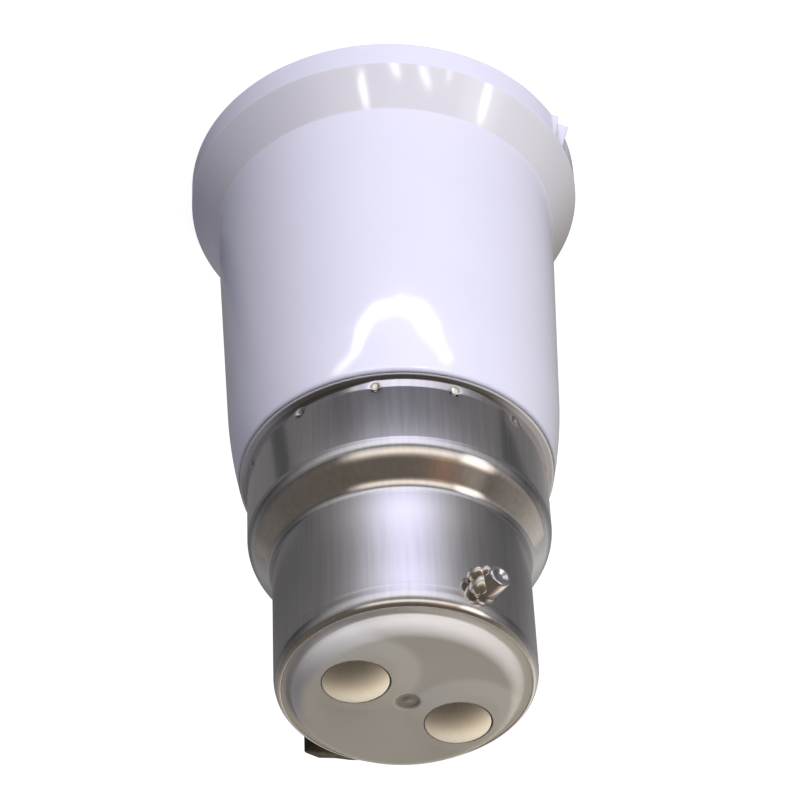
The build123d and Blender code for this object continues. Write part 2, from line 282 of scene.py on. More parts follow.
def flash(grid):
    """Adds the mould's flash at the rim: r grows by reach (1 - |a - azimuth| / half width) in each tooth.

    A tooth is (azimuth, half width, reach), and fades out at the flash's height.
    """
    x, y, z = np.moveaxis(grid, -1, 0)
    r = np.hypot(x, y)
    azimuth = np.degrees(front_angle - np.arctan2(y, x))
    low = np.clip((flash_height - z) / 0.5, 0, 1) * np.clip((r - mouth_radius) / 0.3 + 1, 0, 1)
    reach = sum(size * np.clip(1 - np.abs(azimuth - at) / half, 0, 1) for at, half, size in flash_teeth)
    scale = 1 + reach * low / np.maximum(r, 1)
    return np.stack([x * scale, y * scale, z], axis=-1)


flash_angles = (front_angle - np.radians(np.linspace(62, 71, 37))) % (2 * np.pi)
housing_grid = flash(turned(housing_line, 288, flash_angles))
housing = make_piece("housing_moulding", [housing_grid], white_polyester)
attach(housing, "adapter")
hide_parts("housing")

# Screw shell: thin brass sheet, drawn, rolled with the lamp's round thread and nickel plated. Two lugs turned
# in at its base are riveted to the housing's floor.
thread_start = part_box("screw_shell")[0].z / MM
thread_pitch = 3.63
thread_depth = 1.15
sheet = 0.3
shell_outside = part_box("screw_shell")[1].x / MM
base_outside = 12.7
taper_start = floor_height - 3.8
taper_end = floor_height - 2.8
lug_width = 6.5
lug_start = 6.3
lug_root = base_outside - 0.1
lug_round = 2.2


def streaks(tree, where, across, along, detail):
    """Noise from 0 to 1 with features of across millimetres in X and Y and along millimetres in Z."""
    scale = (1 / (across * MM), 1 / (across * MM), 1 / (along * MM))
    stretched = add(tree, "Mapping", {"Vector": where, "Scale": scale}).outputs["Vector"]
    return add(tree, "TexNoise", {"Vector": stretched, "Scale": 1.0, "Detail": detail}).outputs["Fac"]


# Bright nickel on rolled brass: a soft mirror with faint rolling lines round it and a little dulling
shell_nickel, tree = new_material("nickel_plated_rolled_brass")
where = add(tree, "TexCoord").outputs["Object"]
lines = streaks(tree, where, 6, 0.25, 2.0)
surface(
    tree,
    {
        "Base Color": linear("#CFC9BE"),
        "Metallic": 1.0,
        "Roughness": ramp(tree, lines, 0, 1, 0.18, 0.34),
        "Normal": bump(tree, lines, 0.3, 0.004),
    },
)


def rolled_thread(grid, first, last):
    """Presses a right-hand round thread into a turned wall.

    r falls by depth (1 - cos 2 pi (z / pitch - a / 2 pi)) / 2, and the thread fades in and out over half a
    pitch at its two ends.
    """
    x, y, z = np.moveaxis(grid, -1, 0)
    phase = z / thread_pitch - np.arctan2(y, x) / (2 * np.pi)
    fade = np.clip((z - first) / thread_pitch * 2, 0, 1) * np.clip((last - z) / thread_pitch * 2, 0, 1)
    press = thread_depth * fade * (1 - np.cos(2 * np.pi * phase)) / 2
    scale = 1 - press / np.hypot(x, y)
    return np.stack([x * scale, y * scale, z], axis=-1)


def flat_plate(loop, low, high):
    """Grid of a flat plate: rows go from its middle below, round its edge, to its middle above.

    A row's points are middle + k (p - middle) for the outline's points p, with k from 0 to 1.
    """
    middle = loop.mean(axis=0)
    edge = min(0.08, (high - low) / 3)
    inset = 1 - edge / np.linalg.norm(loop - middle, axis=1, keepdims=True).mean()
    rows = [(0, low), (inset, low), (1, low + edge), (1, high - edge), (inset, high), (0, high)]
    return np.stack([np.column_stack([middle + (loop - middle) * k, 0 * loop[:, 0] + z]) for k, z in rows])


outer_wall = rounded_line(
    [
        (shell_outside, thread_start, 0),
        (shell_outside, taper_start, 0.4),
        (base_outside, taper_end, 0.4),
        (base_outside, floor_height, 0),
    ],
    coarse=0.3,
)
inner_wall = outer_wall - (sheet, 0)
shell_line = np.concatenate([outer_wall, inner_wall[::-1], outer_wall[:1]])
shell_grid = rolled_thread(turned(shell_line, 192), thread_start, taper_start)
lug_loop = rounded_line(
    [
        (lug_root, 0, 0),
        (lug_root, lug_width / 2, 0),
        (lug_start, lug_width / 2, lug_round),
        (lug_start, -lug_width / 2, lug_round),
        (lug_root, -lug_width / 2, 0),
        (lug_root, 0, 0),
    ]
)[:-1]
lug_loops = [np.column_stack([-lug_loop[:, 1], lug_loop[:, 0]]) * side for side in (1, -1)]
lug_grids = [flat_plate(loop, floor_height - sheet, floor_height) for loop in lug_loops]
screw_shell = make_piece("rolled_screw_shell", [shell_grid, *lug_grids], shell_nickel)
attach(screw_shell, "adapter")
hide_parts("screw_shell")

# Rivets and solder tags: stamped and headed brass, bare. The rivets hold the lugs and the contact's foot to
# the floor, and the tags lie under them behind it.


def dress(names, material):
    """Gives the material to pieces that are shown as the CAD has them."""
    for name in names:
        frame["nodes"][name].data.materials.clear()
        frame["nodes"][name].data.materials.append(material)


# Bare brass: warm metal, browned unevenly where it has lain in the air
bare_brass, tree = new_material("bare_stamped_brass")
where = add(tree, "TexCoord").outputs["Object"]
tarnish = grain(tree, where, 1.6, 4.0)
surface(
    tree,
    {
        "Base Color": tinted(tree, tarnish, linear("#D9BC78"), linear("#B8934C")),
        "Metallic": 1.0,
        "Roughness": ramp(tree, tarnish, 0, 1, 0.2, 0.42),
        "Normal": bump(tree, grain(tree, where, 0.2, 2.0), 0.3, 0.004),
    },
)
dress(["shell_rivets", "centre_rivet", "shell_tag", "centre_tag"], bare_brass)

# Centre contact: one sprung strip of hard brass. Its foot is riveted to the floor and its tongue leans to the
# axis, where a pressed pip meets the lamp. It bends at the root of the tongue.
strip_width = 5.0
strip_thickness = 0.4
hinge = Vector(frame["joints"][0]["pos_m"]) / MM
foot_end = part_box("contact_foot")[0].x / MM
strip_bend = 0.8
flat_height = 26.9
flat_start, flat_end = -1.6, 2.2
toe_end = 3.2
toe_rise = 0.5
pip_radius = 1.5
pip_height = 0.5


def bent_strip(line, width, thickness, edge=0.08, across=30):
    """Grid of a strip carried along a line in X and Z, closed at both ends.

    Columns go round its section: over the upper face at +thickness / 2 along the line's normal, then back
    under the lower face. The section is drawn in by edge at its corners and shrinks to the line at its ends.
    """
    along = np.gradient(line, axis=0)
    along /= np.linalg.norm(along, axis=1, keepdims=True)
    normal = np.column_stack([-along[:, 1], along[:, 0]])
    half, lift = width / 2, thickness / 2
    flat = np.linspace(-half + edge, half - edge, across)
    y = np.concatenate([[-half], flat, [half, half], flat[::-1], [-half]])
    top = np.full(across, lift)
    n = np.concatenate([[lift - edge], top, [lift - edge, edge - lift], -top, [edge - lift]])
    size = np.ones(len(line))
    line = np.concatenate([line[:1], line[:1], line[1:-1], line[-1:], line[-1:]])
    normal = np.concatenate([normal[:1], normal, normal[-1:]])
    size = np.concatenate([[0], size, [0]])[:, None]
    x = line[:, :1] + normal[:, :1] * n * size
    z = line[:, 1:] + normal[:, 1:] * n * size
    return np.stack([x, y * size + 0 * x, z], axis=-1)


strip_line = rounded_line(
    [
        (foot_end, hinge.z, 0),
        (hinge.x, hinge.z, strip_bend),
        (flat_start, flat_height, strip_bend),
        (flat_end, flat_height, strip_bend),
        (toe_end, flat_height + toe_rise, 0),
    ],
    coarse=0.25,
)
strip_grid = bent_strip(strip_line, strip_width, strip_thickness)
away = np.hypot(strip_grid[..., 0], strip_grid[..., 1]) / pip_radius
strip_grid[..., 2] -= pip_height * np.clip(1 - away**2, 0, 1)
centre_contact = make_piece("centre_contact_strip", [strip_grid], bare_brass)
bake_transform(centre_contact)
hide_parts("contact_foot", "contact_tongue")

# Leads: two short wires of thin stranded copper in extruded vinyl sleeves. Each is soldered at one end to a
# tag and at the other to an end contact.

# Extruded vinyl: soft, slightly cloudy plastic with a faint ripple along the lead
lead_vinyl, tree = new_material("extruded_white_vinyl")
where = add(tree, "TexCoord").outputs["Object"]
ripple = grain(tree, where, 0.8, 2.0)
surface(
    tree,
    {
        "Base Color": tinted(tree, ripple, linear("#DEDCD4"), linear("#CFCDC4")),
        "Roughness": 0.38,
        "IOR": 1.53,
        "Normal": bump(tree, ripple, 0.2, 0.01),
    },
)
dress(["shell_lead", "centre_lead"], lead_vinyl)

# Solder joints: four beads of tin solder, one at each end of each lead. They flowed round the bared strands
# and set bright.

# Set tin solder: a pale bright metal with a fine frosting from cooling
tin_solder, tree = new_material("set_tin_solder")
where = add(tree, "TexCoord").outputs["Object"]
frost = grain(tree, where, 0.3, 3.0)
surface(
    tree,
    {
        "Base Color": linear("#CFCFD1"),
        "Metallic": 1.0,
        "Roughness": ramp(tree, frost, 0, 1, 0.22, 0.45),
        "Normal": bump(tree, frost, 0.3, 0.01),
    },
)
dress(["solder_joints"], tin_solder)

# End insulator: a cup of cream urea resin, compression moulded, held under the cap's rolled end. Its raised
# boss has a recess for each end contact, and the gate has left a small sunk mark with a nub in the middle.
cup_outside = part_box("cap_insulator")[1].x / MM
cup_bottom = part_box("cap_insulator")[0].z / MM
face_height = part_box("cap_insulator")[1].z / MM
ledge_height = face_height - 1.78
lip_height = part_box("cap_shell")[1].z / MM
lip_edge = 10.4
lip_lean = 0.17
lean_start = 57.0
lean_rise = 1.5
boss_radius = 9.5
boss_round = 1.1
cup_floor = face_height - 3.4
cup_wall = 1.25
cup_slope_width = 0.38
cup_slope_height = 0.54
cup_slope_round = 1.25
contact_y = (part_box("end_contact_1")[0].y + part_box("end_contact_1")[1].y) / 2 / MM
recess_radius = (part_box("end_contact_1")[1].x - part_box("end_contact_1")[0].x) / 2 / MM + 0.07
recess_depth = 0.4
swell_radius = 5.0
swell_height = 0.15
swell_side = front_angle - math.radians(31)
swell_shift = 1.15
gate_radius = 1.15
gate_depth = 0.2
nub_radius = 0.5

# Cream urea resin: a satin skin, cloudy in colour where the powder has flowed, with painted light on one side
# round each contact and painted shade in the gate's sunk mark
cream_resin, tree = new_material("moulded_cream_urea_resin")
where = add(tree, "TexCoord").outputs["Object"]
cloud = add(tree, "TexNoise", {"Vector": where, "Scale": 1 / (4 * MM), "Detail": 3.0, "Distortion": 0.6})
cloud = cloud.outputs["Fac"]
cream = tinted(tree, cloud, linear("#D9D3C7"), linear("#E7E2D7"))
flat = add(tree, "VectorMath", {0: where, 1: (1, 1, 0)}, operation="MULTIPLY").outputs["Vector"]
shift_x, shift_y = swell_shift * math.cos(swell_side), swell_shift * math.sin(swell_side)
sideways = (math.cos(swell_side), math.sin(swell_side), 0)
# Painted light: the resin is paler on one side round each contact.
for c in (contact_y, -contact_y):
    middle = (shift_x * MM, (shift_y + c) * MM, 0)
    away = add(tree, "VectorMath", {0: flat, 1: middle}, operation="SUBTRACT").outputs["Vector"]
    side = add(tree, "VectorMath", {0: away, 1: sideways}, operation="DOT_PRODUCT").outputs["Value"]
    side = ramp(tree, side, -3.0 * MM, 0.8 * MM)
    away = add(tree, "VectorMath", {0: away}, operation="LENGTH").outputs["Value"]
    painted_light_share = ramp(tree, away, swell_radius * MM, (swell_radius - 0.6) * MM, high=side)
    cream = tinted(tree, painted_light_share, cream, linear("#F0ECE2"))
radius = add(tree, "VectorMath", {0: flat}, operation="LENGTH").outputs["Value"]
# Painted shade: the gate's sunk mark is darkened.
gate_shade = ramp(tree, radius, gate_radius * MM, 0.86 * gate_radius * MM, high=0.9)
surface(
    tree,
    {
        "Base Color": tinted(tree, gate_shade, cream, linear("#ABA499")),
        "Roughness": ramp(tree, cloud, 0, 1, 0.3, 0.42),
        "IOR": 1.55,
        "Normal": bump(tree, grain(tree, where, 0.35, 2.0), 0.25, 0.01),
    },
)


def hill(distance, radius):
    """A round hill of unit height, (1 + cos(pi d / radius)) / 2 out to its radius."""
    return (1 + np.cos(np.pi * np.clip(distance / radius, 0, 1))) / 2


insulator_line = rounded_line(
    [
        (0, cup_floor, 0),
        (cup_outside - cup_wall, cup_floor, 0.45),
        (cup_outside - cup_wall, cup_bottom, 0.1),
        (cup_outside, cup_bottom, 0.1),
        (cup_outside, ledge_height - cup_slope_height, cup_slope_round),
        (cup_outside - cup_slope_width, ledge_height, 0),
        (lip_edge - 0.01, ledge_height, 0),
        (lip_edge - 0.01, lip_height - 0.02, 0.02),
        (boss_radius, lip_height - 0.02, 0.25),
        (boss_radius, face_height, boss_round),
        (boss_radius - boss_round - 0.1, face_height, 0),
    ],
    turn=13,
)
face_line = np.column_stack([np.linspace(boss_radius - boss_round - 0.1, 0, 72), np.full(72, face_height)])
insulator_grid = turned(np.concatenate([insulator_line, face_line[1:]]), 256)
x, y, z = np.moveaxis(insulator_grid, -1, 0)
on_face = np.clip((z - face_height) / 0.3 + 1, 0, 1)
from_contacts = [np.hypot(x - shift_x, y - shift_y - c) for c in (contact_y, -contact_y)]
swell = np.clip((swell_radius - np.minimum(*from_contacts)) / (swell_radius - recess_radius), 0, 1)
sunk = hill(np.hypot(x, y) - 0.75 * gate_radius, 0.25 * gate_radius)
gate = gate_depth * (0.7 * hill(np.hypot(x, y), nub_radius) - sunk)
insulator_grid[..., 2] += on_face * (swell_height * swell + gate)


def leaned(grid):
    """Lowers the cap's end in front: z falls by lean cos(a)^2 at the angle a from the front.

    It does so outside the boss, comes in above the lean's start, and leaves the back half as it is.
    """
    x, y, z = np.moveaxis(grid, -1, 0)
    r = np.hypot(x, y)
    ahead = np.clip((x * math.cos(front_angle) + y * math.sin(front_angle)) / np.maximum(r, 1), 0, 1)
    share = np.clip((r - boss_radius) / 0.1, 0, 1) * np.clip((z - lean_start) / lean_rise, 0, 1)
    return np.stack([x, y, z - lip_lean * ahead**2 * share], axis=-1)


insulator_grid = leaned(insulator_grid)
insulator = make_piece("end_insulator", [insulator_grid], cream_resin)


def cut_out(piece, line, centre):
    """Takes a turned plug, moved to its centre, out of a piece."""
    grid = turned(line, 128) + (*centre, 0)
    plug = make_piece("plug", [grid], piece.data.materials[0])
    cut = piece.modifiers.new("cut", "BOOLEAN")
    cut.object = plug
    cut.solver = "EXACT"
    result = bpy.data.meshes.new_from_object(piece.evaluated_get(bpy.context.evaluated_depsgraph_get()))
    piece.modifiers.clear()
    piece.data = result
    bpy.data.objects.remove(plug)


edge_round = 0.06
recess_top = face_height + swell_height
for y in (contact_y, -contact_y):
    recess_line = rounded_line(
        [
            (0, face_height - recess_depth, 0),
            (recess_radius, face_height - recess_depth, 0.1),
            (recess_radius, recess_top - edge_round, 0),
            (recess_radius + edge_round, recess_top, 0),
            (recess_radius + edge_round, recess_top + 1, 0),
            (0, recess_top + 1, 0),
        ]
    )
    cut_out(insulator, recess_line, (0, y))
insulator.data.shade_smooth()
insulator.data.set_sharp_from_angle(angle=math.radians(35))
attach(insulator, "adapter")
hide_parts("cap_insulator")

# End contacts: two domed eyelets of pressed brass, nickel plated. Their heads lie in the insulator's recesses
# and their shanks are clenched under it.
head_radius = recess_radius - 0.07
contact_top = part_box("end_contact_1")[1].z / MM
contact_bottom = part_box("end_contact_1")[0].z / MM
dome_height = 0.5
shank_radius = 1.4
shank_bore = 0.55
clench_radius = 2.1

# Nickel on pressed brass: a smooth soft mirror with a warm cast, finely scuffed by the holder's plungers
contact_nickel, tree = new_material("nickel_plated_pressed_brass")
where = add(tree, "TexCoord").outputs["Object"]
scuff = grain(tree, where, 0.5, 4.0)
surface(
    tree,
    {
        "Base Color": linear("#D6D2CB"),
        "Metallic": 1.0,
        "Roughness": ramp(tree, scuff, 0, 1, 0.2, 0.32),
        "Normal": bump(tree, scuff, 0.12, 0.006),
    },
)

dome_ball = (head_radius**2 + dome_height**2) / (2 * dome_height)
dome_angles = np.linspace(0, math.asin(head_radius / dome_ball), 24)
dome_line = np.column_stack(
    [dome_ball * np.sin(dome_angles), contact_top - dome_ball + dome_ball * np.cos(dome_angles)]
)
recess_floor = face_height - recess_depth
eyelet_line = rounded_line(
    [
        dome_line[-1].tolist() + [0],
        (head_radius, recess_floor, 0.1),
        (shank_radius, recess_floor, 0),
        (shank_radius, cup_floor, 0),
        (clench_radius, cup_floor, 0.1),
        (clench_radius, contact_bottom, 0.1),
        (shank_bore, contact_bottom, 0.1),
        (shank_bore, recess_floor, 0),
        (0, recess_floor, 0),
    ]
)
for k, y in ((1, contact_y), (2, -contact_y)):
    grid = turned(np.concatenate([dome_line, eyelet_line[1:]]), 128) + (0, y, 0)
    contact = make_piece(f"end_contact_eyelet_{k}", [grid], contact_nickel)
    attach(contact, "adapter")
    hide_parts(f"end_contact_{k}")

# Cap shell: thin brass drawn in steps, nickel plated, with its end rolled over the insulator. Twelve
# punched stakes hold its skirt to the housing's neck.
cap_radius = 11.0
cap_end = lip_height
shoulder_height = 44.9
barrel_height = 47.4
roll_height = cap_end - 0.9
roll_width = 0.43
roll_inset = 0.19
roll_drop = 0.24
crease_height = 58.35
crease_half = 0.35
crease_depth = 0.015
edge_flare = 0.14
edge_height = 0.85
flare_azimuth = 14
flare_spread = 30
cap_sheet = 0.35
stake_azimuths = [-98, -71, -37.6, -6.3, 23.8, 52, 82, 112, 142, 172, -158, -128]
stake_height = step_height + 0.9
stake_radius = 0.58
stake_depth = 0.24

# Nickel on drawn brass: a greyish mirror, streaked along the axis by the drawing dies, so that it smears what
# it mirrors round the cap and keeps it sharp along the axis
drawn_nickel, tree = new_material("nickel_plated_drawn_brass")
where = add(tree, "TexCoord").outputs["Object"]
lines = streaks(tree, where, 0.4, 8, 3.0)
round_axis = add(tree, "VectorMath", {0: (0, 0, 1), 1: where}, operation="CROSS_PRODUCT").outputs["Vector"]
round_axis = add(tree, "VectorMath", {0: round_axis}, operation="NORMALIZE").outputs["Vector"]
surface(
    tree,
    {
        "Base Color": tinted(tree, lines, linear("#C4C2C6"), linear("#DAD8DA")),
        "Metallic": 1.0,
        "Roughness": ramp(tree, lines, 0, 1, 0.09, 0.17),
        "Anisotropic": 0.6,
        "Tangent": round_axis,
        "Normal": bump(tree, lines, 0.14, 0.006),
    },
)


def stake(grid, azimuths, height, radius, depth):
    """Punches dimples into a turned skirt: r falls by depth (1 + cos(pi d / radius)) / 2 near each stake.

    d is the distance from the nearest stake. They lie at one height, at azimuths to the right of the front.
    A wider dip of an eighth of the depth goes round each dimple, and a shallow crease goes round the barrel
    under its roll. The skirt's flared edge is pressed in by flare (1 - exp(-(b / spread)^4)), b degrees from
    the flare's azimuth.
    """
    x, y, z = np.moveaxis(grid, -1, 0)
    r = np.hypot(x, y)
    turns = [np.angle(np.exp(1j * (front_angle - math.radians(a) - np.arctan2(y, x)))) for a in azimuths]
    d = np.hypot(np.min(np.abs(turns), axis=0) * r, z - height)
    dip = depth * hill(d, radius) + depth / 8 * np.exp(-((d / radius / 1.6) ** 2))
    dip += crease_depth * hill(np.abs(z - crease_height), crease_half)
    turn = np.angle(np.exp(1j * (front_angle - math.radians(flare_azimuth) - np.arctan2(y, x))))
    at_edge = np.clip(1 - (z - step_height) / edge_height, 0, 1)
    dip += edge_flare * at_edge * (1 - np.exp(-((np.degrees(turn) / flare_spread) ** 4)))
    scale = 1 - dip / r
    return np.stack([x * scale, y * scale, z], axis=-1)


def cap_wall(inset, coarse, turn):
    """The cap's line from its skirt's edge to its lip, moved in by inset from its outside.

    Where a run slopes, its corner moves by the share of the inset that keeps the sheet as thick as elsewhere.
    """
    return rounded_line(
        [
            (skirt_radius - inset + edge_flare, step_height, 0),
            (skirt_radius - inset, step_height + edge_height, 0.8),
            (skirt_radius - inset, stake_height + 1.5, 0),
            (skirt_radius - inset, shoulder_height - 0.35 * inset, 2.9 - inset),
            (cap_radius - inset, barrel_height - 0.35 * inset, 1.9 + inset),
            (cap_radius - inset, roll_height - 0.14 * inset, 3.0 - inset),
            (cap_radius - roll_inset - 0.89 * inset, cap_end - roll_drop - 0.52 * inset, 1.0 - 1.9 * inset),
            (cap_radius - roll_width - 0.41 * inset, cap_end - inset, 0.19 - 0.5 * inset),
            (lip_edge, cap_end - inset, 0),
        ],
        coarse=coarse,
        turn=turn,
    )


outer_wall = cap_wall(0, 0.2, 15)
inner_wall = cap_wall(cap_sheet, 1.5, 7)
shell_line = np.concatenate([outer_wall, inner_wall[::-1], outer_wall[:1]])
cap_grid = stake(turned(shell_line, 384), stake_azimuths, stake_height, stake_radius, stake_depth)
cap = make_piece("drawn_cap_shell", [leaned(cap_grid)], drawn_nickel)
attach(cap, "adapter")
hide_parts("cap_shell")

# Bayonet pins: two headed brass studs, nickel plated with the cap, driven through its barrel into the
# insulator. Driving the front one has thrown up a burr of the barrel's sheet beside it; a dark plate beside
# the rear one is painted shade.
pin_height = (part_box("bayonet_pin_1")[0].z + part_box("bayonet_pin_1")[1].z) / 2 / MM
pin_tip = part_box("bayonet_pin_1")[1].x / MM
pin_radius = 1.1
pin_shank = 0.8
pin_foot = 9.1
pin_dish = 0.2
pin_line = rounded_line(
    [
        (0, pin_foot, 0),
        (pin_shank, pin_foot, 0.1),
        (pin_shank, cap_radius - 0.3, 0),
        (pin_radius + 0.2, cap_radius - 0.3, 0),
        (pin_radius, cap_radius + 0.45, 0.3),
        (pin_radius - 0.12, pin_tip, 0.2),
        (pin_radius - 0.4, pin_tip - 0.02, 0.1),
        (0.3, pin_tip - pin_dish, 0.2),
        (0, pin_tip - pin_dish, 0),
    ]
)


def lump(centre, size):
    """Grid of a torn lump: an ellipsoid of half axes size, swollen by 1 + swell cos(3 a + 2) sin(2 t)."""
    swell = 0.06
    a = np.linspace(0, 2 * np.pi, 48, endpoint=False)
    t = np.linspace(0, np.pi, 33)[:, None]
    swollen = 1 + swell * np.cos(3 * a + 2) * np.sin(2 * t)
    way = np.stack([np.sin(t) * np.cos(a), np.sin(t) * np.sin(a), np.cos(t) + 0 * a], axis=-1)
    return np.array(centre) + np.array(size) * way * swollen[..., None]


claw_grids = [
    lump((11.5, 0.85, pin_height + 0.15), (1.0, 0.75, 0.95)),
    lump((11.8, 1.35, pin_height - 0.65), (0.85, 0.6, 0.6)),
    lump((12.3, 0.75, pin_height - 0.75), (0.7, 0.6, 0.5)),
]
# Painted shade: this outline is a dark plate beside the rear pin, standing in for the shadow there.
shade_plate_loop = rounded_line(
    [
        (10.4, 1.5, 0),
        (10.4, -0.9, 0),
        (13.5, -1.35, 0.4),
        (13.5, 0.3, 0.2),
        (12.75, 1.6, 0.3),
        (12.3, 2.8, 0.3),
        (11.6, 4.0, 0.2),
        (10.4, 4.0, 0),
        (10.4, 1.5, 0),
    ],
    coarse=0.2,
)[:-1]

# Painted shade: a dark, dull metal for the plate beside the rear pin, standing in for the shadow there, with
# a few brighter grains
shade_plate_metal, tree = new_material("painted_shade_plate_metal")
where = add(tree, "TexCoord").outputs["Object"]
dark_grain = grain(tree, where, 0.5, 4.0)
surface(
    tree,
    {
        "Base Color": tinted(tree, dark_grain, linear("#38342E"), linear("#6A6259")),
        "Metallic": 1.0,
        "Roughness": 0.42,
        "Normal": bump(tree, dark_grain, 0.5, 0.03),
    },
)

# Painted shade: the rear pin gets the dark plate in place of a burr.
shade_plate_grids = [flat_plate(-shade_plate_loop, pin_height - 0.4, pin_height + 1.3)]
for k, side, grids, material in ((1, 1, claw_grids, contact_nickel), (2, -1, shade_plate_grids, shade_plate_metal)):
    stud = turned(pin_line, 96)
    grid = np.stack([stud[..., 2] * side, stud[..., 0] * side, stud[..., 1] + pin_height], axis=-1)
    pin = make_piece(f"bayonet_stud_{k}", [grid], drawn_nickel)
    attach(pin, "adapter")
    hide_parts(f"bayonet_pin_{k}")
    burr_and_shade_plate = make_piece(f"pin_burr_and_shade_plate_{k}", grids, material)
    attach(burr_and_shade_plate, "adapter")

# Studio: a pale floor under the mouth, one soft low lamp in front, and a tent of dark and pale cloth that
# only the gloss sees. The camera looks down at the front, turned so that the cap is at the bottom.
front = Vector((math.cos(front_angle), math.sin(front_angle), 0))
right = Vector((math.sin(front_angle), -math.cos(front_angle), 0))
up = Vector((0, 0, 1))


def toward(azimuth, elevation):
    """The direction at an azimuth to the right of the front and an elevation, in degrees."""
    a, e = math.radians(azimuth), math.radians(elevation)
    return (front * math.cos(a) + right * math.sin(a)) * math.cos(e) + up * math.sin(e)


camera_data = bpy.data.cameras.new("camera")
camera_data.lens = 140.59
camera_data.sensor_width = 36.0
camera_data.clip_start = 0.01
camera = bpy.data.objects.new("camera", camera_data)
bpy.context.collection.objects.link(camera)
camera_away = 279.7 * MM
aim = right * 0.61 * MM + up * 27.67 * MM
view = toward(0, 42.782)
facing = (-view).to_track_quat("-Z", "Y").to_matrix().to_4x4()
roll = Matrix.Rotation(math.radians(177.176), 4, "Z")
camera.matrix_world = Matrix.Translation(aim + view * camera_away) @ facing @ roll
bpy.context.scene.camera = camera


def stage_mesh(name, grid, faces_around, material):
    """A stage object in metres from a grid of points, closed round its columns where asked."""
    rows, columns = grid.shape[:2]
    index = np.arange(rows * columns).reshape(rows, columns)
    if faces_around:
        index = np.concatenate([index, index[:, :1]], axis=1)
    faces = np.stack([index[:-1, :-1], index[:-1, 1:], index[1:, 1:], index[1:, :-1]], axis=-1)
    mesh = bpy.data.meshes.new(name)
    mesh.from_pydata(grid.reshape(-1, 3), [], faces.reshape(-1, 4))
    mesh.materials.append(material)
    made = bpy.data.objects.new(name, mesh)
    bpy.context.collection.objects.link(made)
    return made


def seen_rays(tree):
    """1 for rays from the camera, from gloss and through clear things, and 0 for all others."""
    rays = add(tree, "LightPath").outputs
    seen = add(tree, "Math", {0: rays["Is Camera Ray"], 1: rays["Is Glossy Ray"]}, operation="MAXIMUM")
    through = {0: seen.outputs[0], 1: rays["Is Transmission Ray"]}
    return add(tree, "Math", through, operation="MAXIMUM").outputs[0]


# White floor: paper that the camera sees as white, with the object's faint shadow on it
floor_paper, tree = new_material("white_floor_paper")
white_part = add(tree, "Math", {0: seen_rays(tree), 1: 0.9}, operation="MULTIPLY")
paper = add(tree, "BsdfDiffuse", {"Color": linear("#BCBBBD")})
glow = add(tree, "Emission", {"Color": (1, 1, 1, 1), "Strength": white_part.outputs[0]})
both = add(tree, "AddShader", {0: paper.outputs[0], 1: glow.outputs[0]})
add(tree, "OutputMaterial", {"Surface": both.outputs[0]})
reach = 3.0
below = -0.02 * MM
floor_grid = np.array(
    [[(-reach, -reach, below), (reach, -reach, below)], [(-reach, reach, below), (reach, reach, below)]]
)
floor = stage_mesh("floor", floor_grid, False, floor_paper)
floor.visible_glossy = False

world = bpy.data.worlds.new("studio")
world.use_nodes = True
bpy.context.scene.world = world
tree = world.node_tree
tree.nodes.clear()
white_sky = add(tree, "Background", {"Color": (1, 1, 1, 1), "Strength": 1.0})
room = add(tree, "Background", {"Color": linear("#FAFAFF"), "Strength": 0.055})
mixed = add(tree, "MixShader", {0: seen_rays(tree), 1: room.outputs[0], 2: white_sky.outputs[0]})
add(tree, "OutputWorld", {"Surface": mixed.outputs[0]})

# Lamps: a soft key low in front, and two weaker ones behind that edge the sides, bluish left and warm right
lamp_away = 0.8
lamp_list = [
    ("key_lamp", 16, 1.5, 0.35, 9.5, "#F1F1FF"),
    ("left_lamp", -130, 5, 0.3, 2.3, "#DDE0FF"),
    ("right_lamp", 130, 42, 0.3, 2.05, "#FFF9EE"),
]
for name, azimuth, elevation, size, power, colour in lamp_list:
    lamp_data = bpy.data.lights.new(name, "AREA")
    lamp_data.shape = "DISK"
    lamp_data.size = size
    lamp_data.energy = power
    lamp_data.color = linear(colour)[:3]
    lamp = bpy.data.objects.new(name, lamp_data)
    bpy.context.collection.objects.link(lamp)
    way = toward(azimuth, elevation)
    facing = way.to_track_quat("Z", "Y").to_matrix().to_4x4()
    lamp.matrix_world = Matrix.Translation(up * 30 * MM + way * lamp_away) @ facing
    lamp.visible_glossy = False

# Tent cloth: the surroundings that the gloss alone mirrors, painted in the mesh's own colour attribute
tent_cloth, tree = new_material("tent_cloth")
paint = add(tree, "Attribute", attribute_name="glow")
glow = add(tree, "Emission", {"Color": paint.outputs["Color"], "Strength": 1.0})
add(tree, "OutputMaterial", {"Surface": glow.outputs[0]})
tent_cloth.cycles.emission_sampling = "NONE"


def paint_glow(stage_object, level, tint):
    """Writes the light of each point, its level times a tint, and hides the object from all but gloss."""
    colours = np.concatenate([level[..., None] * tint, np.ones_like(level)[..., None]], axis=-1)
    attribute = stage_object.data.attributes.new("glow", "FLOAT_COLOR", "POINT")
    attribute.data.foreach_set("color", colours.reshape(-1).astype(np.float32))
    stage_object.visible_camera = False
    stage_object.visible_diffuse = False
    stage_object.visible_shadow = False


def round_grid(azimuth, across, height):
    """Points at azimuths in degrees to the right of the front, a distance and a height in metres."""
    a = np.radians(azimuth)[None, :]
    f, r = np.array(front), np.array(right)
    flat = across[:, None, None] * (np.cos(a)[..., None] * f + np.sin(a)[..., None] * r)
    return flat + height[:, None, None] * np.array(up)


def hump(value, middle, width):
    """1 at the middle, falling off to both sides as exp(-((value - middle) / width)^2)."""
    return np.exp(-(((value - middle) / width) ** 2))


tent_radius = 0.9
azimuth = np.arange(-180, 180, 2.0)

